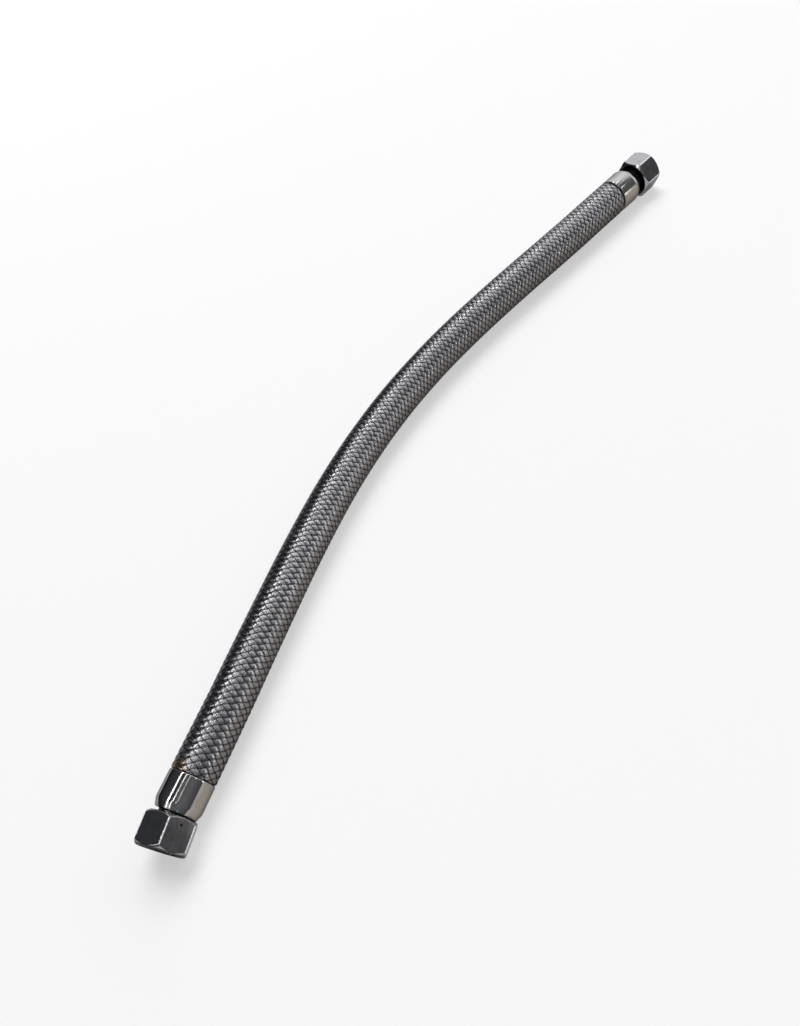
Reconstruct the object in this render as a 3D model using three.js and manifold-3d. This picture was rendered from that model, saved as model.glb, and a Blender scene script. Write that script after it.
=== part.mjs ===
// Flexible metal hose: a corrugated tube under a wire braid, with a ferrule, a collared tailpiece,
// a flat gasket and a swivelling union nut at each end. It lies at rest with a gentle bend.
// Millimetres, +Z up. X runs along the chord between the two ends, with the near end at -X.
// Along an end, places are measured outwards from the rear face of its ferrule.
import * as THREE from "three";
import { mergeVertices } from "three/addons/utils/BufferGeometryUtils.js";
import Module from "manifold-3d";

const wasm = await Module();
wasm.setup();

// Clearances
const GAP = 0.3; // between pieces that touch or slide on the real hose
const BRAID_SLACK = 0.3; // between the braid and the crests of the corrugated tube

// Hose, from the outside in
const HOSE_OD = 24; // over the braid
const BRAID_WALL = 1.2; // two crossing layers of wire
const LINER_WALL = 2.4; // from the crests to the roots of the corrugations
const TUBE_SIDES = 12;
const TUBE_STEPS = 24;

const BRAID_SPAN = 462.1; // straight across from one end of the braid to the other

// The bend that it lies in: its centreline seen from above, from the near end to the far end
const ROUTE = [
  [-232.8, -17.5],
  [-213.3, -12.9],
  [-195.0, -8.5],
  [-176.4, -3.7],
  [-157.5, 1.1],
  [-138.4, 5.8],
  [-119.4, 10.4],
  [-100.2, 14.6],
  [-81.0, 18.4],
  [-61.6, 21.6],
  [-42.3, 24.0],
  [-22.8, 25.5],
  [-3.4, 26.1],
  [16.1, 25.7],
  [35.5, 24.3],
  [54.9, 22.1],
  [74.3, 19.0],
  [93.6, 15.2],
  [112.8, 11.0],
  [131.9, 6.4],
  [150.9, 1.6],
  [169.9, -3.2],
  [190.0, -8.2],
  [209.8, -12.7],
  [229.3, -17.3],
];

// Ferrule
const FERRULE_WALL = 1.05;
const FERRULE_BARREL = 13.2; // length of its straight part
const FERRULE_CONE = 4.2; // length of its tapered end
const FERRULE_TAPER = 1.25; // how much the cone takes off the radius
const FERRULE_END_WALL = 3.9; // thickness of the end that the tailpiece passes through
const FERRULE_EDGE = 0.35; // small bevel on its rear edge
const FERRULE_NOSE = 0.8; // bevel on the narrow end, which faces the nut

// Tailpiece, from its stub inside the hose to its sealing collar
const STUB_WALL = 1.55;
const STUB_LENGTH = 8;
const FLANGE_THICKNESS = 1.2;
const NECK_WALL = 1.75;
const COLLAR_STEP = 1.0; // how far the collar stands out from the neck
const COLLAR_THICKNESS = 2.0;

// Union nut
const NUT_WALL = 1.52; // at the middle of a flat, outside the thread
const NUT_LENGTH = 15.5;
const NUT_BACK_WALL = 2.6;
const NUT_RECESS = 1.5; // depth of the flared recess in its back, which takes the ferrule's narrow end
const NUT_RECESS_R = 10.7; // radius of that recess at the back face
const NUT_PLAY = 0.15; // what the neck hole has over the plain gap, so that the nut can tilt
const SOCKET_ROOM = 1.48; // between the collar and the socket's wall
const NUT_CHAMFER_ANGLE = 40; // degrees from the end faces
const NUT_FACE_STEP = 0.5; // the turned end faces are this much smaller in radius than the flats
const THREAD_LEAD = 0.5; // bevel at the mouth of the socket
const NUT_BACK_GAP = 1.0; // between the ferrule and a nut that is pushed right back
const NUT_TRAVEL = 3.0; // how far a nut can be pulled out along its neck
const NEAR_NUT_PULL = 0; // the near nut lies pushed back
const NEAR_NUT_TILT = 6.5; // degrees that it leans on its neck, towards the inside of the bend
const FAR_NUT_TILT = 0; // the far nut lies straight

// Gasket
const GASKET_THICKNESS = 1.5;
const GASKET_SETBACK = 0.25; // its hole is this much larger in radius than the tailpiece's bore

const ROUND_SIDES = 48;

// Radii that follow from the walls, from the braid inwards and then outwards to the nut's flats
const HOSE_R = HOSE_OD / 2;
const BRAID_INNER_R = HOSE_R - BRAID_WALL;
const LINER_R = BRAID_INNER_R - BRAID_SLACK;
const LINER_BORE_R = LINER_R - LINER_WALL;
const FERRULE_BORE_R = LINER_R + GAP;
const FERRULE_R = FERRULE_BORE_R + FERRULE_WALL;
const FERRULE_END_R = FERRULE_R - FERRULE_TAPER;
const STUB_R = LINER_BORE_R - GAP;
const TAIL_BORE_R = STUB_R - STUB_WALL;
const NECK_R = TAIL_BORE_R + NECK_WALL;
const FLANGE_R = FERRULE_BORE_R - GAP;
const COLLAR_R = NECK_R + COLLAR_STEP;
const SOCKET_R = COLLAR_R + SOCKET_ROOM; // the root of a half-inch pipe thread
const NUT_FLATS = 2 * (SOCKET_R + NUT_WALL);
const NECK_HOLE_R = NECK_R + GAP + NUT_PLAY;
const GASKET_BORE_R = TAIL_BORE_R + GASKET_SETBACK;

// Places along an end
const FERRULE_LENGTH = FERRULE_BARREL + FERRULE_CONE;
const POCKET_DEPTH = FERRULE_LENGTH - FERRULE_END_WALL;
const FLANGE_FRONT = POCKET_DEPTH - GAP;
const FLANGE_BACK = FLANGE_FRONT - FLANGE_THICKNESS;
const LINER_END = FLANGE_BACK - GAP;
const STUB_START = FLANGE_BACK - STUB_LENGTH;
const NUT_BACK = FERRULE_LENGTH + NUT_BACK_GAP;
const FAR_NUT_PULL = NUT_TRAVEL; // the far nut lies pulled out against its collar
const COLLAR_BACK = NUT_BACK + NUT_TRAVEL + NUT_BACK_WALL + GAP;
const COLLAR_FRONT = COLLAR_BACK + COLLAR_THICKNESS;
const GASKET_BACK = COLLAR_FRONT + GAP;

// The hose lies on whichever is thicker, its braid or its nuts
const AXIS_HEIGHT = Math.max(HOSE_OD, NUT_FLATS) / 2;

const STEEL_BRAID = new THREE.MeshStandardMaterial({
  color: 0x77777a,
  roughness: 0.38,
  metalness: 1,
});
const STEEL_LINER = new THREE.MeshStandardMaterial({
  color: 0x9c9a96,
  roughness: 0.3,
  metalness: 1,
});
const STEEL_FERRULE = new THREE.MeshStandardMaterial({
  color: 0x8f8b86,
  roughness: 0.24,
  metalness: 1,
});
const STEEL_TAILPIECE = new THREE.MeshStandardMaterial({
  color: 0x8a8884,
  roughness: 0.32,
  metalness: 1,
});
const STEEL_NUT = new THREE.MeshStandardMaterial({
  color: 0x85868a,
  roughness: 0.34,
  metalness: 1,
});
const GASKET_RUBBER = new THREE.MeshStandardMaterial({
  color: 0x1d1d1e,
  roughness: 0.8,
  metalness: 0,
});

function named(name, geometry, material) {
  const mesh = new THREE.Mesh(geometry, material);
  mesh.name = name;
  return mesh;
}

// A solid of revolution about +X from [place along X, radius] points, which run along the outer side
// towards +X first. An outline that doesn't start and end on the axis closes on itself.
function turned(outline) {
  const points = outline.map(([along, radius]) => new THREE.Vector2(radius, along));
  if (points[0].x > 0) points.push(points[0].clone());
  const geometry = new THREE.LatheGeometry(points, ROUND_SIDES);
  geometry.rotateZ(-Math.PI / 2);
  return geometry;
}

function toSolid(geometry) {
  const bare = geometry.clone();
  bare.deleteAttribute("normal");
  bare.deleteAttribute("uv");
  const merged = mergeVertices(bare, 1e-4);
  return new wasm.Manifold(
    new wasm.Mesh({
      numProp: 3,
      vertProperties: merged.attributes.position.array,
      triVerts: new Uint32Array(merged.index.array),
    }),
  );
}

function toGeometry(solid) {
  const mesh = solid.getMesh();
  const geometry = new THREE.BufferGeometry();
  geometry.setAttribute("position", new THREE.BufferAttribute(mesh.vertProperties, 3));
  geometry.setIndex(new THREE.BufferAttribute(mesh.triVerts, 1));
  geometry.computeVertexNormals();
  return geometry;
}

// The corners of a regular polygon whose sides lie the given distance from its middle. One side faces +x.
function polygon(apothem, sides) {
  const corner = apothem / Math.cos(Math.PI / sides);
  return Array.from({ length: sides }, (_, i) => {
    const angle = (2 * Math.PI * (i + 0.5)) / sides;
    return new THREE.Vector2(corner * Math.cos(angle), corner * Math.sin(angle));
  });
}

// A straight-sided tube along a route of points.
function tube(points, outer, inner) {
  const section = new THREE.Shape(polygon(outer, TUBE_SIDES));
  section.holes.push(new THREE.Path(polygon(inner, TUBE_SIDES).reverse()));
  return new THREE.ExtrudeGeometry(section, {
    steps: TUBE_STEPS,
    extrudePath: new THREE.CatmullRomCurve3(points),
  });
}

const stretch = BRAID_SPAN / (ROUTE.at(-1)[0] - ROUTE.at(0)[0]);
const routePoints = ROUTE.map(
  ([x, y]) => new THREE.Vector3(stretch * x, stretch * y, AXIS_HEIGHT),
);

// Where an end of the hose leaves the braid, and which way it points.
function endFrame(last, before) {
  const outward = last.clone().sub(before).normalize();
  return { start: last.clone().addScaledVector(outward, GAP), outward };
}
const nearEnd = endFrame(routePoints.at(0), routePoints.at(1));
const farEnd = endFrame(routePoints.at(-1), routePoints.at(-2));

function braidSleeve() {
  return tube(routePoints, HOSE_R, BRAID_INNER_R);
}

// The corrugated tube runs on past the braid into both ferrules, up to the tailpieces' flanges.
function corrugatedLiner() {
  const reach = ({ start, outward }) => start.clone().addScaledVector(outward, LINER_END);
  const points = [reach(nearEnd), ...routePoints, reach(farEnd)];
  const crest = LINER_R * Math.cos(Math.PI / TUBE_SIDES);
  return tube(points, crest, LINER_BORE_R);
}

function ferrule() {
  return turned([
    [0, FERRULE_R - FERRULE_EDGE],
    [FERRULE_EDGE, FERRULE_R],
    [FERRULE_BARREL, FERRULE_R],
    [FERRULE_LENGTH - FERRULE_NOSE, FERRULE_END_R],
    [FERRULE_LENGTH, FERRULE_END_R - FERRULE_NOSE],
    [FERRULE_LENGTH, NECK_R + GAP],
    [POCKET_DEPTH, NECK_R + GAP],
    [POCKET_DEPTH, FERRULE_BORE_R],
    [0, FERRULE_BORE_R],
  ]);
}

function tailpiece() {
  return turned([
    [STUB_START, STUB_R],
    [FLANGE_BACK, STUB_R],
    [FLANGE_BACK, FLANGE_R],
    [FLANGE_FRONT, FLANGE_R],
    [FLANGE_FRONT, NECK_R],
    [COLLAR_BACK, NECK_R],
    [COLLAR_BACK, COLLAR_R],
    [COLLAR_FRONT, COLLAR_R],
    [COLLAR_FRONT, TAIL_BORE_R],
    [STUB_START, TAIL_BORE_R],
  ]);
}

function gasket() {
  return turned([
    [GASKET_BACK, COLLAR_R],
    [GASKET_BACK + GASKET_THICKNESS, COLLAR_R],
    [GASKET_BACK + GASKET_THICKNESS, GASKET_BORE_R],
    [GASKET_BACK, GASKET_BORE_R],
  ]);
}

// A hexagon bar, turned down to a cone at both ends and bored for the neck and the thread. It leans
// about the middle of the plain part of its neck hole.
function unionNut(pull, tilt) {
  const back = NUT_BACK + pull;
  const front = back + NUT_LENGTH;
  const bar = new THREE.ExtrudeGeometry(new THREE.Shape(polygon(NUT_FLATS / 2, 6)), {
    depth: NUT_LENGTH,
    bevelEnabled: false,
  });
  bar.rotateY(Math.PI / 2);
  bar.translate(back, 0, 0);
  const faceR = NUT_FLATS / 2 - NUT_FACE_STEP;
  const coneRise = NUT_LENGTH / 2 / Math.tan(THREE.MathUtils.degToRad(NUT_CHAMFER_ANGLE));
  const cones = turned([
    [back, 0],
    [back, faceR],
    [(back + front) / 2, faceR + coneRise],
    [front, faceR],
    [front, 0],
  ]);
  const flare = (NUT_RECESS_R - NECK_HOLE_R) / NUT_RECESS;
  const neckHole = turned([
    [back - NUT_RECESS, 0],
    [back - NUT_RECESS, NUT_RECESS_R + flare * NUT_RECESS],
    [back + NUT_RECESS, NECK_HOLE_R],
    [front, NECK_HOLE_R],
    [front, 0],
  ]);
  const socket = turned([
    [back + NUT_BACK_WALL, 0],
    [back + NUT_BACK_WALL, SOCKET_R],
    [front - THREAD_LEAD, SOCKET_R],
    [front + THREAD_LEAD, SOCKET_R + 2 * THREAD_LEAD],
    [front + THREAD_LEAD, 0],
  ]);
  const turnedBar = toSolid(bar).intersect(toSolid(cones));
  const nut = toGeometry(turnedBar.subtract(toSolid(neckHole)).subtract(toSolid(socket)));
  const pivot = back + (NUT_RECESS + NUT_BACK_WALL) / 2;
  nut.translate(-pivot, 0, 0);
  nut.rotateZ(THREE.MathUtils.degToRad(tilt));
  nut.translate(pivot, 0, 0);
  return nut;
}

function hoseEnd(side, { start, outward }, pull, tilt) {
  const end = new THREE.Group();
  end.position.copy(start);
  end.rotation.z = Math.atan2(outward.y, outward.x);
  end.add(
    named(side + "_ferrule", ferrule(), STEEL_FERRULE),
    named(side + "_tailpiece", tailpiece(), STEEL_TAILPIECE),
    named(side + "_gasket", gasket(), GASKET_RUBBER),
    named(side + "_union_nut", unionNut(pull, tilt), STEEL_NUT),
  );
  return end;
}

const hose = new THREE.Group();
hose.add(
  named("braid_sleeve", braidSleeve(), STEEL_BRAID),
  named("corrugated_liner", corrugatedLiner(), STEEL_LINER),
  hoseEnd("near", nearEnd, NEAR_NUT_PULL, NEAR_NUT_TILT),
  hoseEnd("far", farEnd, FAR_NUT_PULL, -FAR_NUT_TILT),
);

export default hose;
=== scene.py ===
import math

import bmesh
import bpy
import numpy as np
from mathutils import Matrix, Vector


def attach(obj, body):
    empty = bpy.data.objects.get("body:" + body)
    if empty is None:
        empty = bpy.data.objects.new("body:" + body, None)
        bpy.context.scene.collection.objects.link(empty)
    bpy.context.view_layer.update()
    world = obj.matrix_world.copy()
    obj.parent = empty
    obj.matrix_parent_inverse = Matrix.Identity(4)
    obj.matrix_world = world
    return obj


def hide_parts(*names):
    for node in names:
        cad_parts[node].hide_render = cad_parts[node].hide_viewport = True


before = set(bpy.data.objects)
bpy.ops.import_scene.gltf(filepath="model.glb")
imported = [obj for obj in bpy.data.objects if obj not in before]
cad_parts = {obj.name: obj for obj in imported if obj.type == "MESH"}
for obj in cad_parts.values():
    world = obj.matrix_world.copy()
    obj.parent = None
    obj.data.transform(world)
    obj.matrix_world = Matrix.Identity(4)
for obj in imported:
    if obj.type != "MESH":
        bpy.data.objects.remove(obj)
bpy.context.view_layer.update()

# Sizes in metres. X runs from the near end of the hose to its far end, and it lies on z = 0.
# The route is the CAD part's own, seen from above. Most of its points come from a curve fitted to the photo.
MM = 0.001
AXIS_HEIGHT = 12 * MM
ROUTE = [
    (-0.2328, -0.0175),
    (-0.2133, -0.0129),
    (-0.1950, -0.0085),
    (-0.1764, -0.0037),
    (-0.1575, 0.0011),
    (-0.1384, 0.0058),
    (-0.1194, 0.0104),
    (-0.1002, 0.0146),
    (-0.0810, 0.0184),
    (-0.0616, 0.0216),
    (-0.0423, 0.0240),
    (-0.0228, 0.0255),
    (-0.0034, 0.0261),
    (0.0161, 0.0257),
    (0.0355, 0.0243),
    (0.0549, 0.0221),
    (0.0743, 0.0190),
    (0.0936, 0.0152),
    (0.1128, 0.0110),
    (0.1319, 0.0064),
    (0.1509, 0.0016),
    (0.1699, -0.0032),
    (0.1900, -0.0082),
    (0.2098, -0.0127),
    (0.2293, -0.0173),
]
JOIN_GAP = 0.3 * MM

# The weave: bands of wire each way round, how far one goes in a turn, and its radii
BANDS_EACH_WAY = 12
LEAD = 43.0 * MM
WIRES_IN_BAND = 6
BAND_COVER = 0.8
WEAVE_RADIUS = 11.58 * MM
WEAVE_WAVE = 0.18 * MM
WIRE_RISE = 0.025 * MM
BAND_CROWN = 0.09 * MM
BAND_ROLL = 0.04 * MM
ROLL_ALONG = 2.4  # how fast a band rocks along its way, and how its neighbours differ
ROLL_BETWEEN = 1.9
BAND_FLOOR = 0.08 * MM
ROWS_PER_CROSSING = 4
WEAVE_TURN = math.radians(-8)
WEAVE_SQUARENESS = 1.5  # how flat a band runs over and under the others
TONE_STEP = 0.381966  # spreads the bands' shades evenly
HAND_TONE = 0.27
# A dark sheet under the bands, which stands for the shade between them
SHADE_SHEET_RADIUS = 11.1 * MM
SHADE_SHEET_WALL = 0.25 * MM
SHADE_SHEET_ROWS = 240
SHADE_SHEET_SIDES = 40
# Bare rings between the woven bands and the ferrules
NEAR_SEAM = 0.1 * MM
FAR_SEAM = 1.0 * MM
END_TUCK = 0.5 * MM
END_TUCK_REACH = 1.4 * MM

# The corrugated tube
CREST_RADIUS = 10.4 * MM
ROOT_RADIUS = 8.2 * MM
CORRUGATION = 3.0 * MM
STRIP = 0.25 * MM
LINER_REACH = 11.6 * MM
ROWS_PER_CORRUGATION = 6
LINER_SIDES = 24


# Camera
def matrix_of(right, up, back, place):
    turned = Matrix((right, up, back)).transposed().to_4x4()
    return Matrix.Translation(place) @ turned


camera_data = bpy.data.cameras.new("camera")
camera_data.sensor_width = 36
camera_data.lens = 25.08
camera_data.clip_start = 0.01
camera_data.clip_end = 50
camera = bpy.data.objects.new("camera", camera_data)
bpy.context.scene.collection.objects.link(camera)
camera.matrix_world = matrix_of(
    (0.542143, -0.783865, -0.302716),
    (0.760096, 0.303890, 0.574373),
    (-0.358239, -0.541486, 0.760565),
    (-0.20554, -0.24279, 0.31592),
)
bpy.context.scene.camera = camera
bpy.context.scene.view_settings.view_transform = "Standard"


# The hose's line, as one smooth curve through the route's points
def curve_between(p0, p1, p2, p3, count):
    knots = [0.0]
    for a, b in ((p0, p1), (p1, p2), (p2, p3)):
        knots.append(knots[-1] + math.sqrt(np.linalg.norm(b - a)))
    t = np.linspace(knots[1], knots[2], count, endpoint=False)[:, None]
    k0, k1, k2, k3 = knots
    a1 = (k1 - t) / (k1 - k0) * p0 + (t - k0) / (k1 - k0) * p1
    a2 = (k2 - t) / (k2 - k1) * p1 + (t - k1) / (k2 - k1) * p2
    a3 = (k3 - t) / (k3 - k2) * p2 + (t - k2) / (k3 - k2) * p3
    b1 = (k2 - t) / (k2 - k0) * a1 + (t - k0) / (k2 - k0) * a2
    b2 = (k3 - t) / (k3 - k1) * a2 + (t - k1) / (k3 - k1) * a3
    return (k2 - t) / (k2 - k1) * b1 + (t - k1) / (k2 - k1) * b2


def fine_line(points, count=60):
    p = [np.array(q) for q in points]
    p = [2 * p[0] - p[1], *p, 2 * p[-1] - p[-2]]
    parts = [curve_between(*p[i : i + 4], count) for i in range(len(p) - 3)]
    return np.vstack([*parts, p[-2][None]])


LINE = fine_line(ROUTE)
LINE_AT = np.concatenate([[0], np.cumsum(np.linalg.norm(np.diff(LINE, axis=0), axis=1))])
BRAID_LENGTH = float(LINE_AT[-1])
NEAR_OUT = (LINE[0] - np.array(ROUTE[1])) / np.linalg.norm(LINE[0] - np.array(ROUTE[1]))
FAR_OUT = (LINE[-1] - np.array(ROUTE[-2])) / np.linalg.norm(LINE[-1] - np.array(ROUTE[-2]))
NEAR_START = LINE[0] + JOIN_GAP * NEAR_OUT
FAR_START = LINE[-1] + JOIN_GAP * FAR_OUT


def on_hose(along, angle, radius):
    """Points round the hose: along from the near end, angle from straight up towards -Y."""
    along, angle, radius = np.broadcast_arrays(along, angle, radius)
    held = np.clip(along, 0, BRAID_LENGTH)
    x = np.interp(held, LINE_AT, LINE[:, 0])
    y = np.interp(held, LINE_AT, LINE[:, 1])
    step = 1.5 * MM
    low, high = np.clip(held - step, 0, BRAID_LENGTH), np.clip(held + step, 0, BRAID_LENGTH)
    tx = np.interp(high, LINE_AT, LINE[:, 0]) - np.interp(low, LINE_AT, LINE[:, 0])
    ty = np.interp(high, LINE_AT, LINE[:, 1]) - np.interp(low, LINE_AT, LINE[:, 1])
    size = np.hypot(tx, ty)
    tx, ty = tx / size, ty / size
    past = along - held
    side = radius * np.sin(angle)
    return np.stack(
        [
            x + tx * past + ty * side,
            y + ty * past - tx * side,
            AXIS_HEIGHT + radius * np.cos(angle),
        ],
        axis=-1,
    )


def grid_faces(rows, columns, first=0):
    """Quads over rows of points, each of which closes on itself."""
    r, c = np.meshgrid(np.arange(rows - 1), np.arange(columns), indexing="ij")
    r2, c2 = r + 1, (c + 1) % columns
    quads = np.stack([r * columns + c, r2 * columns + c, r2 * columns + c2, r * columns + c2], -1)
    return quads.reshape(-1, 4) + first


def mesh_object(name, points, faces):
    mesh = bpy.data.meshes.new(name)
    mesh.vertices.add(len(points))
    mesh.vertices.foreach_set("co", np.asarray(points, np.float32).ravel())
    mesh.loops.add(len(faces) * 4)
    mesh.loops.foreach_set("vertex_index", np.asarray(faces, np.int32).ravel())
    mesh.polygons.add(len(faces))
    mesh.polygons.foreach_set("loop_start", np.arange(0, len(faces) * 4, 4, dtype=np.int32))
    mesh.update(calc_edges=True)
    mesh.validate()
    mesh.shade_smooth()
    obj = bpy.data.objects.new(name, mesh)
    bpy.context.scene.collection.objects.link(obj)
    return obj


def tube_along(name, along, outer_radius, wall, sides):
    """A tube with a wall that follows the hose, closed at both ends."""
    angle = np.linspace(0, 2 * math.pi, sides, endpoint=False)[None]
    outer = on_hose(along[:, None], angle, outer_radius)
    inner = on_hose(along[:, None], angle, outer_radius - wall)
    rows, count = len(along), len(along) * sides
    faces = [grid_faces(rows, sides)[:, ::-1], grid_faces(rows, sides, count)]
    for row in (0, rows - 1):
        a = row * sides + np.arange(sides)
        b = row * sides + (np.arange(sides) + 1) % sides
        cap = np.stack([a, b, b + count, a + count], -1)
        faces.append(cap if row else cap[:, ::-1])
    points = np.vstack([outer.reshape(-1, 3), inner.reshape(-1, 3)])
    return mesh_object(name, points, np.vstack(faces))


# A dark sheet of painted shade shows between the bands of wire; its line is the hose's own line
def shade_sheet():
    along = np.linspace(-JOIN_GAP, BRAID_LENGTH + JOIN_GAP, SHADE_SHEET_ROWS)
    obj = tube_along("braid_shade_sheet", along, SHADE_SHEET_RADIUS, SHADE_SHEET_WALL, SHADE_SHEET_SIDES)
    return obj, on_hose(along, 0.0, 0.0)


shade_sheet_piece, hose_path = shade_sheet()


# One band of wires, which goes over and under the bands that cross it
def band(index, hand):
    """One band's points and faces. hand is 1 for the bands that climb one way, else -1."""
    n = BANDS_EACH_WAY
    crossings = 2 * n * (BRAID_LENGTH + 2 * JOIN_GAP) / LEAD
    rows = int((crossings + 3) * ROWS_PER_CROSSING)
    walk = index - 1 + np.arange(rows) / ROWS_PER_CROSSING
    columns = 2 * WIRES_IN_BAND + 1
    across = np.linspace(-0.5, 0.5, columns) * BAND_COVER
    walk, across = np.meshgrid(walk, across, indexing="ij")
    along = (walk - index - across) / (2 * n) * LEAD - JOIN_GAP
    along = np.clip(along, NEAR_SEAM, BRAID_LENGTH - FAR_SEAM)
    angle = (along + JOIN_GAP) / LEAD + (index + across) / n
    angle = hand * 2 * math.pi * angle + WEAVE_TURN
    wave = np.tanh(WEAVE_SQUARENESS * np.cos(math.pi * (walk + index)))
    wave = hand * wave / math.tanh(WEAVE_SQUARENESS)
    wires = np.where(np.arange(columns) % 2 == 1, WIRE_RISE, 0.0)
    crown = BAND_CROWN * (1 - (2 * across / BAND_COVER) ** 2)
    roll = BAND_ROLL * np.sin(ROLL_ALONG * walk + ROLL_BETWEEN * index) * 2 * across / BAND_COVER
    from_end = np.minimum(along - NEAR_SEAM, BRAID_LENGTH - FAR_SEAM - along)
    tuck = END_TUCK * (1 - np.clip(from_end / END_TUCK_REACH, 0, 1)) ** 2
    radius = WEAVE_RADIUS + WEAVE_WAVE * wave + wires[None] + crown + roll - tuck
    top = on_hose(along, angle, radius)
    sides = [0, -1]
    under = radius[:, sides] - BAND_FLOOR
    low = on_hose(along[:, sides], angle[:, sides], under)
    ring = np.concatenate([top, low[:, 1:], low[:, :1]], axis=1)
    faces = grid_faces(rows, columns + 2)
    if hand > 0:
        faces = faces[:, ::-1]
    column = np.tile(np.concatenate([np.arange(columns), [-1, -1]]), rows)
    depth = np.ones((rows, columns + 2))
    depth[:, :columns] = 0.5 - 0.5 * wave
    return ring.reshape(-1, 3), faces, column, depth.ravel()


def woven_piece(name, hand, indices):
    points, faces, columns, depth, tone, count = [], [], [], [], [], 0
    for index in indices:
        p, f, c, d = band(index, hand)
        points.append(p)
        faces.append(f + count)
        columns.append(c)
        depth.append(d)
        tone.append(np.full(len(p), (index * TONE_STEP + (hand + 1) * HAND_TONE) % 1))
        count += len(p)
    points, faces = np.vstack(points), np.vstack(faces)
    # Rows past either end have no size, so their faces go
    corners = points[faces]
    area = np.linalg.norm(
        np.cross(corners[:, 2] - corners[:, 0], corners[:, 3] - corners[:, 1]), axis=1
    )
    faces = faces[area > 1e-10]
    used = np.unique(faces)
    renumber = np.full(len(points), -1)
    renumber[used] = np.arange(len(used))
    columns, depth, tone = (np.concatenate(part)[used] for part in (columns, depth, tone))
    obj = mesh_object(name, points[used], renumber[faces])
    mesh = obj.data
    ends = np.zeros(len(mesh.edges) * 2, np.int32)
    mesh.edges.foreach_get("vertices", ends)
    a, b = columns[ends[::2]], columns[ends[1::2]]
    valley = (a == b) & (a % 2 == 0) & (a >= 0)
    border = (a < 0) != (b < 0)
    mark = mesh.attributes.new("sharp_edge", "BOOLEAN", "EDGE")
    mark.data.foreach_set("value", valley | border)
    spread = np.where(columns < 0, 1.0, np.abs(columns - WIRES_IN_BAND) / WIRES_IN_BAND)
    for label, values in (("band_tone", tone), ("band_edge", spread), ("band_depth", depth)):
        attribute = mesh.attributes.new(label, "FLOAT", "POINT")
        attribute.data.foreach_set("value", values.astype(np.float32))
    bm = bmesh.new()
    bm.from_mesh(mesh)
    bmesh.ops.remove_doubles(bm, verts=bm.verts, dist=1e-6)
    bmesh.ops.holes_fill(bm, edges=[e for e in bm.edges if e.is_boundary], sides=0)
    bm.to_mesh(mesh)
    bm.free()
    return obj


half = BANDS_EACH_WAY // 2
weave = [
    woven_piece("braid_bands_right_a", 1, range(half)),
    woven_piece("braid_bands_right_b", 1, range(half, BANDS_EACH_WAY)),
    woven_piece("braid_bands_left_a", -1, range(half)),
    woven_piece("braid_bands_left_b", -1, range(half, BANDS_EACH_WAY)),
]


# The corrugated tube runs under the braid into both ferrules
def corrugated_tube():
    start, end = -LINER_REACH - JOIN_GAP, BRAID_LENGTH + JOIN_GAP + LINER_REACH
    waves = round((end - start) / CORRUGATION)
    along = np.linspace(start, end, waves * ROWS_PER_CORRUGATION + 1)
    wave = np.cos(2 * math.pi * (along - start) / (end - start) * waves)
    wave = wave * (1.4 - 0.4 * wave**2)
    radius = (CREST_RADIUS + ROOT_RADIUS) / 2 - (CREST_RADIUS - ROOT_RADIUS) / 2 * wave
    return tube_along("corrugated_tube", along, radius[:, None], STRIP, LINER_SIDES)


liner = corrugated_tube()


# Pieces of an end, made about +X from the rear face of the ferrule, and then put at both ends
def deselect_all():
    if bpy.context.mode != "OBJECT":
        bpy.ops.object.mode_set(mode="OBJECT")
    bpy.ops.object.select_all(action="DESELECT")


def select_alone(obj):
    deselect_all()
    obj.select_set(True)
    bpy.context.view_layer.objects.active = obj


def extruded_circle(name, outline, sides, filled):
    """A circle drawn out along X through [place, radius] points in mm, left in edit mode."""
    deselect_all()
    outline = [(x * MM, r * MM) for x, r in outline]
    x0, r0 = outline[0]
    bpy.ops.mesh.primitive_circle_add(
        vertices=sides, radius=r0, location=(x0, 0, 0), rotation=(0, math.pi / 2, 0)
    )
    obj = bpy.context.object
    obj.name = obj.data.name = name
    bpy.ops.object.transform_apply(location=True, rotation=True, scale=True)
    bpy.ops.object.mode_set(mode="EDIT")
    bpy.ops.mesh.select_mode(type="VERT")
    bpy.ops.mesh.select_all(action="SELECT")
    if filled:
        bpy.ops.mesh.edge_face_add()
    for (xa, ra), (xb, rb) in zip(outline, outline[1:]):
        bpy.ops.mesh.extrude_region_move(TRANSFORM_OT_translate={"value": (xb - xa, 0, 0)})
        bpy.ops.transform.resize(value=(1, rb / ra, rb / ra), center_override=(xb, 0, 0))
    return obj


def face_outwards():
    """Turns the faces of the piece in edit mode outwards, and leaves edit mode."""
    bpy.ops.mesh.select_all(action="SELECT")
    bpy.ops.mesh.normals_make_consistent(inside=False)
    bpy.ops.object.mode_set(mode="OBJECT")


def round_edges(obj, width, segments, sharper_than):
    select_alone(obj)
    bevel = obj.modifiers.new("rounded_edges", "BEVEL")
    bevel.width = width * MM
    bevel.segments = segments
    bevel.limit_method = "ANGLE"
    bevel.angle_limit = math.radians(sharper_than)
    bpy.ops.object.modifier_apply(modifier=bevel.name)


def turned(name, outline, sides, edge, segments=2):
    """A turned piece whose outline, in mm, closes on itself round a hole."""
    obj = extruded_circle(name, outline, sides, filled=False)
    bpy.ops.mesh.select_all(action="DESELECT")
    bpy.ops.mesh.select_non_manifold()
    bpy.ops.mesh.bridge_edge_loops()
    face_outwards()
    round_edges(obj, edge, segments, sharper_than=25)
    bpy.ops.object.shade_smooth_by_angle(angle=math.radians(35))
    return obj


def solid_turned(name, outline, sides):
    """A turned solid whose first and last rings are filled."""
    obj = extruded_circle(name, outline, sides, filled=True)
    face_outwards()
    return obj


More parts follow.
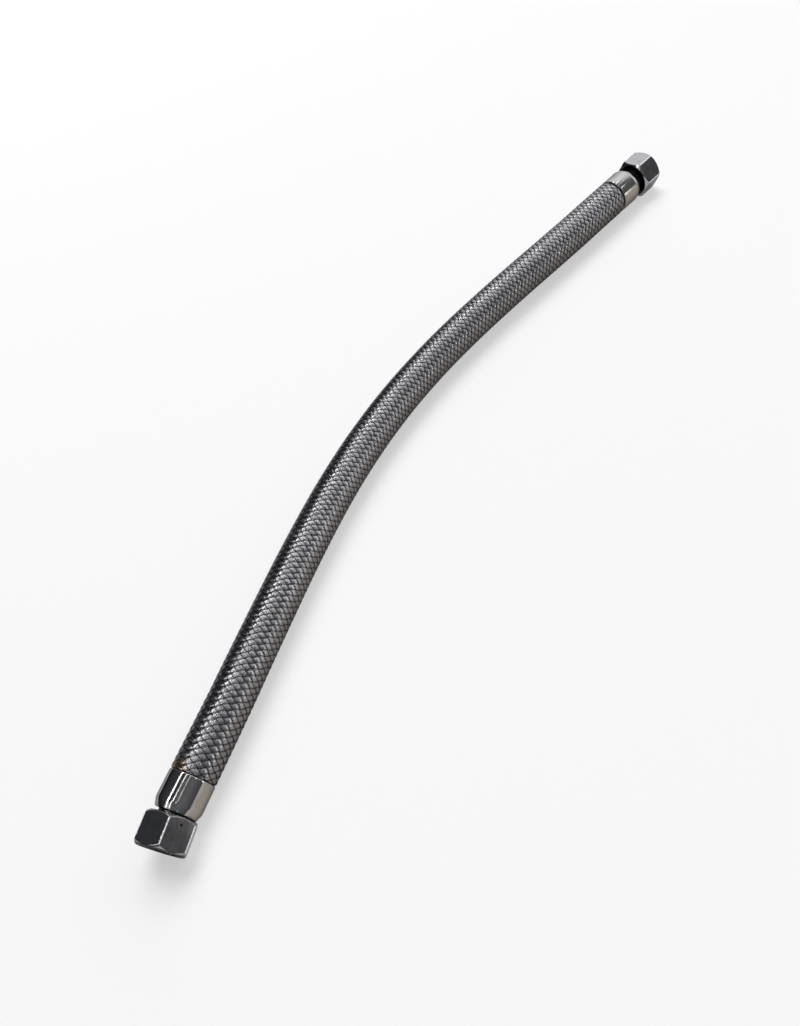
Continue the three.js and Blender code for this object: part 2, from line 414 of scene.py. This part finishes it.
def make_ferrule(name):
    outline = [
        (0, 11.5),
        (0.25, 11.82),
        (0.9, 11.85),
        (12.6, 11.85),
        (13.2, 11.83),
        (13.7, 11.72),
        (16.6, 10.62),
        (17.15, 10.3),
        (17.4, 9.8),
        (17.4, 8.3),
        (13.5, 8.3),
        (13.5, 10.8),
        (0, 10.8),
    ]
    return turned(name, outline, 128, 0.12)


def make_tailpiece(name):
    outline = [
        (4.0, 7.8),
        (12.0, 7.8),
        (12.0, 10.5),
        (13.2, 10.5),
        (13.2, 8.0),
        (24.3, 8.0),
        (24.3, 9.0),
        (26.3, 9.0),
        (26.3, 6.25),
        (4.0, 6.25),
    ]
    return turned(name, outline, 96, 0.15)


def make_gasket(name):
    outline = [(26.6, 9.0), (28.1, 9.0), (28.1, 6.5), (26.6, 6.5)]
    return turned(name, outline, 96, 0.2, 3)


# The union nut: a hexagon bar with turned bevels, a neck hole and a threaded socket, in mm
NUT_BACK = 18.4
NUT_LENGTH = 15.5
NUT_BACK_WALL = 2.6
NUT_RECESS = 1.5
NUT_PIVOT = NUT_BACK + (NUT_RECESS + NUT_BACK_WALL) / 2
NUT_FRONT = NUT_BACK + NUT_LENGTH
NUT_MIDDLE = (NUT_BACK + NUT_FRONT) / 2
NUT_HALF_ACROSS_FLATS = 12
NUT_FACE_RADIUS = 11.5
NUT_BEVEL_SLOPE = math.radians(40)
NUT_HOLE_RADIUS = 8.45
NUT_RECESS_RADIUS = 12.95
NUT_EDGE = 0.13
SHOULDER_SLOPE = 0.001  # how far the shoulder behind the thread leans
THREAD_START = NUT_BACK + 11.6
THREAD_PITCH = 1.814
THREAD_ROOT = 10.478
THREAD_CREST = 9.33
THREAD_FOOT = THREAD_ROOT + 0.06
THREAD_STEPS = 72


def boolean(obj, cutter, operation):
    select_alone(obj)
    cut = obj.modifiers.new("cut", "BOOLEAN")
    cut.object = cutter
    cut.operation = operation
    cut.solver = "EXACT"
    bpy.ops.object.modifier_apply(modifier=cut.name)
    bpy.data.objects.remove(cutter)


def make_nut(name):
    deselect_all()
    bpy.ops.mesh.primitive_cylinder_add(
        vertices=6,
        radius=NUT_HALF_ACROSS_FLATS / math.cos(math.pi / 6) * MM,
        depth=NUT_LENGTH * MM,
        location=(NUT_MIDDLE * MM, 0, 0),
        rotation=(0, math.pi / 2, 0),
    )
    nut = bpy.context.object
    nut.name = nut.data.name = name
    bpy.ops.object.transform_apply(location=True, rotation=True, scale=True)
    rise = NUT_LENGTH / 2 / math.tan(NUT_BEVEL_SLOPE)
    cones = solid_turned(
        "turned_ends",
        [
            (NUT_BACK, NUT_FACE_RADIUS),
            (NUT_MIDDLE, NUT_FACE_RADIUS + rise),
            (NUT_FRONT, NUT_FACE_RADIUS),
        ],
        128,
    )
    boolean(nut, cones, "INTERSECT")
    bore = solid_turned(
        "bore",
        [
            (NUT_BACK - NUT_RECESS, NUT_RECESS_RADIUS),
            (NUT_BACK + NUT_RECESS, NUT_HOLE_RADIUS),
            (NUT_BACK + NUT_BACK_WALL, NUT_HOLE_RADIUS),
            (NUT_BACK + NUT_BACK_WALL + SHOULDER_SLOPE, THREAD_ROOT),
            (NUT_FRONT - 0.5, THREAD_ROOT),
            (NUT_FRONT + 0.5, THREAD_ROOT + 1.0),
        ],
        96,
    )
    boolean(nut, bore, "DIFFERENCE")
    round_edges(nut, NUT_EDGE, 3, sharper_than=24)
    bpy.ops.object.shade_smooth_by_angle(angle=math.radians(30))
    for face in nut.data.polygons:
        if face.area > 40 * MM**2:
            face.use_smooth = False
    return nut


def make_thread(name):
    """The socket's thread: one turn of a ridge that winds along the wall."""
    deselect_all()
    bpy.ops.mesh.primitive_plane_add(size=1.0, location=(0, 0, 0))
    ridge = bpy.context.object
    ridge.name = ridge.data.name = name
    section = [(-0.78, THREAD_FOOT), (0.78, THREAD_FOOT), (-0.16, THREAD_CREST), (0.16, THREAD_CREST)]
    for corner, (x, r) in zip(ridge.data.vertices, section):
        corner.co = Vector((0, r * MM, (THREAD_START + x) * MM))
    screw = ridge.modifiers.new("winding", "SCREW")
    screw.axis = "Z"
    screw.screw_offset = THREAD_PITCH * MM
    screw.iterations = 1
    screw.steps = screw.render_steps = THREAD_STEPS
    screw.use_merge_vertices = False
    screw.use_normal_calculate = True
    bpy.ops.object.modifier_apply(modifier=screw.name)
    ridge.rotation_euler = (0, math.pi / 2, 0)
    bpy.ops.object.transform_apply(location=True, rotation=True, scale=True)
    bpy.ops.object.mode_set(mode="EDIT")
    bpy.ops.mesh.select_all(action="SELECT")
    bpy.ops.mesh.remove_doubles(threshold=1e-6)
    face_outwards()
    bpy.ops.object.shade_smooth_by_angle(angle=math.radians(30))
    return ridge


def place_at(obj, start, outward, pull=0.0, tilt=0.0):
    """Moves the mesh itself to an end of the hose. A nut can lean on its neck."""
    turn = Matrix.Rotation(math.atan2(outward[1], outward[0]), 4, "Z")
    move = Matrix.Translation((start[0], start[1], AXIS_HEIGHT))
    pivot = Matrix.Translation((NUT_PIVOT * MM, 0, 0))
    lean = pivot @ Matrix.Rotation(tilt, 4, "Z") @ pivot.inverted()
    obj.data.transform(move @ turn @ Matrix.Translation((pull, 0, 0)) @ lean)
    obj.data.update()


def copy_of(obj, name):
    new = obj.copy()
    new.data = obj.data.copy()
    new.name = new.data.name = name
    bpy.context.scene.collection.objects.link(new)
    return new


ends = {}
for kind, maker in (
    ("ferrule", make_ferrule),
    ("tailpiece", make_tailpiece),
    ("gasket", make_gasket),
    ("nut", make_nut),
    ("thread", make_thread),
):
    near = maker("near_" + kind + "_shape")
    ends[kind] = (near, copy_of(near, "far_" + kind + "_shape"))
deselect_all()
FAR_PULL = 3.0 * MM
NEAR_TILT = math.radians(6.5)
for kind, (near, far) in ends.items():
    loose = kind in ("nut", "thread")
    place_at(near, NEAR_START, NEAR_OUT, 0.0, NEAR_TILT if loose else 0.0)
    place_at(far, FAR_START, FAR_OUT, FAR_PULL if loose else 0.0)


# Surface effects that several finishes share
def node_group(name, inputs, outputs):
    group = bpy.data.node_groups.new(name, "ShaderNodeTree")
    for label, kind, default in inputs:
        socket = group.interface.new_socket(label, in_out="INPUT", socket_type=kind)
        if default is not None:
            socket.default_value = default
    for label, kind in outputs:
        group.interface.new_socket(label, in_out="OUTPUT", socket_type=kind)
    return group, group.nodes.new("NodeGroupInput"), group.nodes.new("NodeGroupOutput")


def math_node(tree, operation, a, b, clamp=False):
    node = tree.nodes.new("ShaderNodeMath")
    node.operation = operation
    node.use_clamp = clamp
    for socket, value in zip(node.inputs, (a, b)):
        if hasattr(value, "links"):
            tree.links.new(value, socket)
        elif value is not None:
            socket.default_value = value
    return node.outputs[0]


def noise_node(tree, vector, scale, detail=3.0, roughness=0.55):
    node = tree.nodes.new("ShaderNodeTexNoise")
    node.inputs["Scale"].default_value = scale
    node.inputs["Detail"].default_value = detail
    node.inputs["Roughness"].default_value = roughness
    tree.links.new(vector, node.inputs["Vector"])
    return node.outputs["Fac"]


def ramp_node(tree, value, low, high):
    node = tree.nodes.new("ShaderNodeMapRange")
    node.inputs["From Min"].default_value = low
    node.inputs["From Max"].default_value = high
    tree.links.new(value, node.inputs["Value"])
    return node.outputs["Result"]


# Fine marks drawn along X of the vector that comes in
grain, g_in, g_out = node_group(
    "drawn_grain",
    [("Vector", "NodeSocketVector", None), ("Coarse", "NodeSocketFloat", 60.0)],
    [("Marks", "NodeSocketFloat"), ("Height", "NodeSocketFloat")],
)
stretch = grain.nodes.new("ShaderNodeMapping")
stretch.inputs["Scale"].default_value = (0.04, 1.0, 1.0)
grain.links.new(g_in.outputs["Vector"], stretch.inputs["Vector"])
fine = noise_node(grain, stretch.outputs[0], 2600, 2.0)
broad = grain.nodes.new("ShaderNodeTexNoise")
broad.inputs["Detail"].default_value = 3.0
grain.links.new(stretch.outputs[0], broad.inputs["Vector"])
grain.links.new(math_node(grain, "MULTIPLY", g_in.outputs["Coarse"], 10.0), broad.inputs["Scale"])
fine_part = math_node(grain, "MULTIPLY", fine, 0.45)
broad_part = math_node(grain, "MULTIPLY", broad.outputs["Fac"], 0.55)
mixed = math_node(grain, "ADD", fine_part, broad_part)
grain.links.new(ramp_node(grain, mixed, 0.36, 0.64), g_out.inputs["Marks"])
grain.links.new(mixed, g_out.inputs["Height"])

# Faint handling marks and stains
stain, s_in, s_out = node_group(
    "handling_stains",
    [("Vector", "NodeSocketVector", None)],
    [("Stain", "NodeSocketFloat")],
)
patches = noise_node(stain, s_in.outputs["Vector"], 130, 4.0, 0.6)
specks = noise_node(stain, s_in.outputs["Vector"], 900, 2.0, 0.5)
patch_part = math_node(stain, "MULTIPLY", patches, 0.7)
speck_part = math_node(stain, "MULTIPLY", specks, 0.3)
both = math_node(stain, "ADD", patch_part, speck_part)
stain.links.new(ramp_node(stain, both, 0.44, 0.62), s_out.inputs["Stain"])

# A painted reflection, darker and browner underneath and up the sides, which fades out between these heights
# over the floor
LOW_REFLECTION_FULL = 0.0165
LOW_REFLECTION_NONE = 0.0195
low_reflection_group, t_in, t_out = node_group(
    "painted_low_reflection",
    [("Vector", "NodeSocketVector", None), ("Amount", "NodeSocketFloat", 0.5)],
    [("Low Reflection", "NodeSocketFloat")],
)
heights = low_reflection_group.nodes.new("ShaderNodeSeparateXYZ")
low_reflection_group.links.new(t_in.outputs["Vector"], heights.inputs[0])
blotches = noise_node(low_reflection_group, t_in.outputs["Vector"], 160, 3.0)
uneven = math_node(low_reflection_group, "MULTIPLY", blotches, 0.003)
level = math_node(low_reflection_group, "ADD", heights.outputs["Z"], uneven)
low = ramp_node(low_reflection_group, level, LOW_REFLECTION_NONE, LOW_REFLECTION_FULL)
shown = math_node(low_reflection_group, "MULTIPLY", low, t_in.outputs["Amount"])
low_reflection_group.links.new(shown, t_out.inputs["Low Reflection"])


def material(name):
    made = bpy.data.materials.new(name)
    made.use_nodes = True
    return made, made.node_tree, made.node_tree.nodes["Principled BSDF"]


def object_vector(tree, turn=0.0, centre=(0, 0, 0)):
    """Object coordinates, turned so that X runs along an end of the hose."""
    coordinate = tree.nodes.new("ShaderNodeTexCoord")
    shift = tree.nodes.new("ShaderNodeMapping")
    shift.vector_type = "TEXTURE"
    shift.inputs["Location"].default_value = centre
    shift.inputs["Rotation"].default_value = (0, 0, turn)
    tree.links.new(coordinate.outputs["Object"], shift.inputs["Vector"])
    return shift.outputs[0]


def mix_colour(tree, factor, a, b):
    node = tree.nodes.new("ShaderNodeMix")
    node.data_type = "RGBA"
    for label, value in (("Factor", factor), ("A", a), ("B", b)):
        socket = node.inputs[label]
        if hasattr(value, "links"):
            tree.links.new(value, socket)
        elif isinstance(value, (int, float)):
            socket.default_value = value
        else:
            socket.default_value = (*value, 1.0)
    return node.outputs["Result"]


def use_group(tree, group, **values):
    node = tree.nodes.new("ShaderNodeGroup")
    node.node_tree = group
    for label, value in values.items():
        if hasattr(value, "links"):
            tree.links.new(value, node.inputs[label])
        else:
            node.inputs[label].default_value = value
    return node


def bump(tree, height, strength, distance):
    node = tree.nodes.new("ShaderNodeBump")
    node.inputs["Strength"].default_value = strength
    node.inputs["Distance"].default_value = distance
    tree.links.new(height, node.inputs["Height"])
    return node.outputs["Normal"]


# What metal seen at a slant still mirrors, which keeps the rims dark
EDGE_TINT = (0.4, 0.4, 0.42, 1)
# A small pit in the near nut's flat that faces the camera. It has no depth; its shade is painted in as a
# dark spot
NUT_PIT = (-0.25076, -0.0325, 0.018)
PIT_RADII = (0.4 * MM, 0.9 * MM)
# Where a nut's corners get a painted highlight, by distance from its axis
CORNER_HIGHLIGHT_RADII = (13.6 * MM, 13.75 * MM)
# Painted shade for the inside of a nut: its bore, back recess and mouth
BORE_PAINTED_SHADE = (0.03, 0.03, 0.03)
# Painted highlight colour for a nut's corners
CORNER_PAINTED_HIGHLIGHT = (0.9, 0.9, 0.92)
# Painted shade for the pit
PIT_PAINTED_SHADE = (0.02, 0.02, 0.02)
# Painted shade for the near nut's front rim
RIM_PAINTED_SHADE = (0.07, 0.07, 0.07)
# Painted reflection colour for steel low down
STEEL_LOW_REFLECTION = (0.27, 0.235, 0.19)


def drawn_steel(
    name,
    turn,
    light,
    dark,
    smooth,
    rough,
    coarse,
    depth,
    strength=0.3,
    centre=(0, 0, 0),
    bore=0.0,
    low_reflection_amount=0.0,
    stained=0.25,
    pit=None,
    shade_front_rim=False,
):
    """Steel with marks along X. A nut's has painted shade within its bore and a painted highlight on its
    corners.
    """
    made, tree, shader = material(name)
    vector = object_vector(tree, turn, centre)
    marks = use_group(tree, grain, Vector=vector, Coarse=coarse)
    stains = use_group(tree, stain, Vector=vector)
    colour = mix_colour(tree, marks.outputs["Marks"], dark, light)
    soiled = math_node(tree, "MULTIPLY", stains.outputs["Stain"], stained)
    soil = (0.72 * dark[0], 0.68 * dark[1], 0.6 * dark[2])
    colour = mix_colour(tree, soiled, colour, soil)
    spread = tree.nodes.new("ShaderNodeMapRange")
    spread.inputs["To Min"].default_value = smooth
    spread.inputs["To Max"].default_value = rough
    tree.links.new(marks.outputs["Marks"], spread.inputs["Value"])
    dullness = spread.outputs["Result"]
    # Painted reflection: steel is darker and browner low down
    if low_reflection_amount:
        plain = object_vector(tree)
        low_reflection = use_group(tree, low_reflection_group, Vector=plain, Amount=low_reflection_amount).outputs["Low Reflection"]
        colour = mix_colour(tree, low_reflection, colour, STEEL_LOW_REFLECTION)
        dullness = math_node(tree, "ADD", dullness, math_node(tree, "MULTIPLY", low_reflection, 0.28))
    if bore:
        split = tree.nodes.new("ShaderNodeSeparateXYZ")
        tree.links.new(vector, split.inputs[0])
        squares = [math_node(tree, "POWER", split.outputs[k], 2.0) for k in ("Y", "Z")]
        reach = math_node(tree, "SQRT", math_node(tree, "ADD", *squares), None)
        # Painted shade: within the bore radius the colour goes near black
        inside = ramp_node(tree, reach, bore + 0.1 * MM, bore - 0.1 * MM)
        colour = mix_colour(tree, inside, colour, BORE_PAINTED_SHADE)
        # Painted highlight: a nut's corners are lightened, and made rougher
        corner = ramp_node(tree, reach, *CORNER_HIGHLIGHT_RADII)
        colour = mix_colour(tree, corner, colour, CORNER_PAINTED_HIGHLIGHT)
        dullness = math_node(tree, "ADD", dullness, math_node(tree, "MULTIPLY", corner, 0.3))
    if pit:
        away = tree.nodes.new("ShaderNodeVectorMath")
        away.operation = "DISTANCE"
        away.inputs[1].default_value = pit
        tree.links.new(object_vector(tree), away.inputs[0])
        # Painted shade: the colour goes near black within the pit
        in_pit = ramp_node(tree, away.outputs["Value"], PIT_RADII[1], PIT_RADII[0])
        colour = mix_colour(tree, in_pit, colour, PIT_PAINTED_SHADE)
    # Painted shade: the near nut's front rim is darkened, which widens the dark of its mouth
    if bore and shade_front_rim:
        front = (NUT_FRONT - NUT_PIVOT) * MM
        rim_shade = ramp_node(tree, split.outputs["X"], front - 0.75 * MM, front - 0.45 * MM)
        colour = mix_colour(tree, rim_shade, colour, RIM_PAINTED_SHADE)
    tree.links.new(colour, shader.inputs["Base Color"])
    tree.links.new(dullness, shader.inputs["Roughness"])
    shader.inputs["Metallic"].default_value = 1.0
    shader.inputs["Specular Tint"].default_value = EDGE_TINT
    tree.links.new(bump(tree, marks.outputs["Height"], strength, depth), shader.inputs["Normal"])
    return made


near_turn = math.atan2(NEAR_OUT[1], NEAR_OUT[0])
far_turn = math.atan2(FAR_OUT[1], FAR_OUT[0])

WIRE_DARK = (0.32, 0.32, 0.34)
WIRE_LIGHT = (0.40, 0.40, 0.425)
# Painted reflection colour for the wires low down
WIRE_LOW_REFLECTION = (0.1, 0.08, 0.062)
WIRE_STAIN = (0.27, 0.255, 0.235)
# Painted shade colour for the bands' edges and dips
WIRE_CREVICE_SHADE = (0.02, 0.019, 0.018)
HEAT_TINT = (0.38, 0.27, 0.17)
# Where the tint begins and where it is full: along the hose, across it and up it
HEAT_ALONG = (-0.003, 0.002)
HEAT_ACROSS = (0.005, -0.001)
HEAT_UP = (0.004, 0.009)


def attribute_node(tree, label):
    node = tree.nodes.new("ShaderNodeAttribute")
    node.attribute_name = label
    return node.outputs["Fac"]


def braid_steel():
    made, tree, shader = material("braid_wire_steel")
    vector = object_vector(tree)
    stains = use_group(tree, stain, Vector=vector)
    tone = attribute_node(tree, "band_tone")
    base = mix_colour(tree, tone, WIRE_DARK, WIRE_LIGHT)
    # Painted reflection: the wires are darker and browner low down
    low_reflection = use_group(tree, low_reflection_group, Vector=vector, Amount=0.7)
    base = mix_colour(tree, low_reflection.outputs["Low Reflection"], base, WIRE_LOW_REFLECTION)
    soiled = math_node(tree, "MULTIPLY", stains.outputs["Stain"], 0.35)
    base = mix_colour(tree, soiled, base, WIRE_STAIN)
    # Painted shade lies along the edges of the bands and where they dip under each other
    along_edge = math_node(tree, "POWER", attribute_node(tree, "band_edge"), 4.0)
    in_dip = ramp_node(tree, attribute_node(tree, "band_depth"), 0.15, 0.65)
    crevice_shade = math_node(tree, "MULTIPLY", math_node(tree, "MAXIMUM", along_edge, in_dip), 0.92)
    base = mix_colour(tree, crevice_shade, base, WIRE_CREVICE_SHADE)
    # Heat from the weld has tinted the wires beside the near ferrule
    at_end = object_vector(tree, near_turn, (NEAR_START[0], NEAR_START[1], AXIS_HEIGHT))
    split = tree.nodes.new("ShaderNodeSeparateXYZ")
    tree.links.new(at_end, split.inputs[0])
    patchy = noise_node(tree, vector, 320, 3.0)
    reach = math_node(tree, "ADD", split.outputs["X"], math_node(tree, "MULTIPLY", patchy, 0.006))
    heat = ramp_node(tree, reach, *HEAT_ALONG)
    heat = math_node(tree, "MULTIPLY", heat, ramp_node(tree, split.outputs["Y"], *HEAT_ACROSS))
    heat = math_node(tree, "MULTIPLY", heat, ramp_node(tree, split.outputs["Z"], *HEAT_UP))
    base = mix_colour(tree, math_node(tree, "MULTIPLY", heat, 0.8), base, HEAT_TINT)
    tree.links.new(base, shader.inputs["Base Color"])
    spread = tree.nodes.new("ShaderNodeMapRange")
    spread.inputs["To Min"].default_value = 0.2
    spread.inputs["To Max"].default_value = 0.34
    tree.links.new(stains.outputs["Stain"], spread.inputs["Value"])
    tree.links.new(spread.outputs["Result"], shader.inputs["Roughness"])
    shader.inputs["Metallic"].default_value = 1.0
    shader.inputs["Specular Tint"].default_value = EDGE_TINT
    scratches = noise_node(tree, vector, 2400, 2.0)
    tree.links.new(bump(tree, scratches, 0.1, 0.00004), shader.inputs["Normal"])
    return made


# A dark matte finish, for rubber and for painted shade
def matte_rubber_and_shade(name, low, high, rough):
    made, tree, shader = material(name)
    vector = object_vector(tree)
    grit = noise_node(tree, vector, 700, 3.0)
    tree.links.new(mix_colour(tree, grit, low, high), shader.inputs["Base Color"])
    spread = tree.nodes.new("ShaderNodeMapRange")
    spread.inputs["To Min"].default_value = rough
    spread.inputs["To Max"].default_value = min(1.0, rough + 0.12)
    tree.links.new(grit, spread.inputs["Value"])
    tree.links.new(spread.outputs["Result"], shader.inputs["Roughness"])
    tree.links.new(bump(tree, grit, 0.4, 0.0001), shader.inputs["Normal"])
    return made


braid_finish = braid_steel()
# Painted shade: the dark sheet between the bands
shade_sheet_finish = matte_rubber_and_shade("painted_shade_between_bands", (0.012, 0.012, 0.012), (0.035, 0.033, 0.03), 0.7)
gasket_finish = matte_rubber_and_shade("gasket_rubber", (0.018, 0.018, 0.019), (0.04, 0.04, 0.042), 0.75)
liner_finish = drawn_steel(
    "rolled_strip_steel",
    turn=0.0,
    light=(0.62, 0.61, 0.59),
    dark=(0.5, 0.49, 0.47),
    smooth=0.2,
    rough=0.34,
    coarse=60,
    depth=0.00002,
)


def on_axis(start, outward, pull):
    """The middle of a nut's neck hole."""
    x, y = start + (NUT_PIVOT * MM + pull) * outward
    return (float(x), float(y), AXIS_HEIGHT)


finishes = {}
for side, turn, lean, centre in (
    ("near", near_turn, NEAR_TILT, on_axis(NEAR_START, NEAR_OUT, 0.0)),
    ("far", far_turn, 0.0, on_axis(FAR_START, FAR_OUT, FAR_PULL)),
):
    finishes[side] = {
        "ferrule": drawn_steel(
            side + "_ferrule_steel",
            turn,
            light=(0.40, 0.40, 0.405),
            dark=(0.31, 0.31, 0.31),
            smooth=0.05,
            rough=0.11,
            coarse=55,
            depth=0.00004,
            strength=0.7,
            low_reflection_amount=0.8,
        ),
        # Painted shade: the tailpiece is coloured far darker than steel, for the shade on its neck
        "tailpiece": drawn_steel(
            side + "_tailpiece_painted_shade",
            turn,
            light=(0.14, 0.135, 0.13),
            dark=(0.1, 0.095, 0.09),
            smooth=0.25,
            rough=0.4,
            coarse=60,
            depth=0.00002,
        ),
        "gasket": gasket_finish,
        "nut": drawn_steel(
            side + "_nut_steel",
            turn + lean,
            light=(0.36, 0.36, 0.375),
            dark=(0.32, 0.32, 0.335),
            smooth=0.07,
            rough=0.1,
            coarse=45,
            depth=0.00001,
            strength=0.08,
            centre=centre,
            bore=11.6 * MM,
            stained=0.8,
            pit=NUT_PIT if side == "near" else None,
            shade_front_rim=side == "near",
        ),
        # Painted shade: the thread is coloured far darker than steel, for the shade inside the nut
        "thread": drawn_steel(
            side + "_thread_painted_shade",
            turn + lean,
            light=(0.12, 0.12, 0.12),
            dark=(0.07, 0.07, 0.07),
            smooth=0.3,
            rough=0.45,
            coarse=60,
            depth=0.00002,
        ),
    }


def finish(obj, made):
    obj.data.materials.clear()
    obj.data.materials.append(made)


for piece in weave:
    finish(piece, braid_finish)
    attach(piece, "hose")
finish(shade_sheet_piece, shade_sheet_finish)
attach(shade_sheet_piece, "hose")
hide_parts("braid_sleeve")
finish(liner, liner_finish)
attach(liner, "hose")
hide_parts("corrugated_liner")

# The thread is in scene.py alone, so it replaces no node and takes the nut's slot
NODES = {"ferrule": "ferrule", "tailpiece": "tailpiece", "gasket": "gasket", "nut": "union_nut"}
for kind, pair in ends.items():
    for side, piece in zip(("near", "far"), pair):
        finish(piece, finishes[side][kind])
        body = side + "_nut" if kind in ("nut", "thread") else "hose"
        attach(piece, body)
        if kind in NODES:
            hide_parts(side + "_" + NODES[kind])


# Floor, lamps and surroundings
deselect_all()
bpy.ops.mesh.primitive_plane_add(size=60, location=(0, 0, -0.0001))
floor = bpy.context.object
floor.name = "floor"
floor_finish, floor_tree, floor_shader = material("pale_floor")
floor_shader.inputs["Base Color"].default_value = (0.93, 0.93, 0.93, 1)
floor_shader.inputs["Roughness"].default_value = 0.9
floor_shader.inputs["Specular IOR Level"].default_value = 0.0
# About half of what the camera and the metal see of it is plain white, so its shadows stay light
FLOOR_GLOW = 0.98
FLOOR_GLOW_SHARE = 0.52
ray = floor_tree.nodes.new("ShaderNodeLightPath")
seen = math_node(floor_tree, "ADD", ray.outputs["Is Camera Ray"], ray.outputs["Is Glossy Ray"])
seen = math_node(floor_tree, "ADD", seen, ray.outputs["Is Transmission Ray"], True)
glow = floor_tree.nodes.new("ShaderNodeEmission")
glow.inputs["Strength"].default_value = FLOOR_GLOW
part_glow = floor_tree.nodes.new("ShaderNodeMixShader")
share = math_node(floor_tree, "MULTIPLY", seen, FLOOR_GLOW_SHARE)
floor_tree.links.new(share, part_glow.inputs[0])
floor_tree.links.new(floor_shader.outputs[0], part_glow.inputs[1])
floor_tree.links.new(glow.outputs[0], part_glow.inputs[2])
floor_tree.links.new(part_glow.outputs[0], floor_tree.nodes["Material Output"].inputs["Surface"])
finish(floor, floor_finish)


def strip(name, place, aim, width, length, radiance, for_floor=False):
    """A lamp that the metal mirrors, or one that lights the floor and casts the shadows."""
    data = bpy.data.lights.new(name, "AREA")
    data.shape = "RECTANGLE"
    data.size = width
    data.size_y = length
    # Radiance 1 from an area lamp takes pi watts a square metre
    data.energy = math.pi * width * length * radiance
    obj = bpy.data.objects.new(name, data)
    bpy.context.scene.collection.objects.link(obj)
    obj.location = place
    obj.rotation_euler = (Vector(aim) - Vector(place)).to_track_quat("-Z", "Y").to_euler()
    obj.visible_camera = False
    obj.visible_glossy = not for_floor
    obj.visible_diffuse = for_floor


strip("overhead_strip", (-0.4, 0.85, 2.5), (-0.4, 0.85, 0.0), 5.6, 0.22, 10)
strip("overhead_thin", (-0.15, -0.1, 2.5), (-0.15, -0.1, 0.0), 5.0, 0.08, 9)
strip("camera_side_thin", (0.6, -0.95, 2.5), (0.6, -0.95, 0.0), 3.4, 0.12, 2)
strip("camera_side_card", (1.4, -2.1, 2.0), (0.1, 0.0, 0.0), 0.95, 0.25, 3.2)
strip("left_soft", (-2.8, 0.5, 2.2), (0.0, 0.0, 0.0), 1.7, 1.7, 0.8)
strip("left_card", (-2.9, -2.2, 1.5), (-0.2, 0.0, 0.0), 0.9, 1.0, 1.2)
strip("low_strip", (1.4, -3.0, 0.12), (1.4, 0.0, 0.02), 0.46, 0.24, 12)
strip("floor_lamp", (2.3, 1.9, 4.8), (0.0, 0.0, 0.0), 4.2, 3.2, 6.5, for_floor=True)

# A room that is dark behind the hose and grey behind the camera, each as low down and high up
DARK_WALL = ((0.015, 0.015, 0.015), (0.075, 0.078, 0.085))
GREY_WALL = ((0.12, 0.12, 0.125), (0.24, 0.24, 0.25))
# Past the far end it is brighter than white, for the far ferrule and the far nut to mirror
FAR_END_PATCH = (1.6, 1.6, 1.6)
world = bpy.data.worlds.new("studio")
bpy.context.scene.world = world
world.use_nodes = True
sky = world.node_tree
direction = sky.nodes.new("ShaderNodeTexCoord")
parts = sky.nodes.new("ShaderNodeSeparateXYZ")
sky.links.new(direction.outputs["Generated"], parts.inputs[0])
behind = ramp_node(sky, parts.outputs["Y"], 0.15, -0.25)
height = ramp_node(sky, parts.outputs["Z"], 0.05, 0.6)
camera_side = mix_colour(sky, height, *GREY_WALL)
far_right = ramp_node(sky, parts.outputs["X"], 0.57, 0.67)
far_side = mix_colour(sky, height, *DARK_WALL)
room = mix_colour(sky, behind, far_side, camera_side)
room = mix_colour(sky, far_right, room, FAR_END_PATCH)
sky.links.new(room, sky.nodes["Background"].inputs["Color"])
sky.nodes["Background"].inputs["Strength"].default_value = 1.0
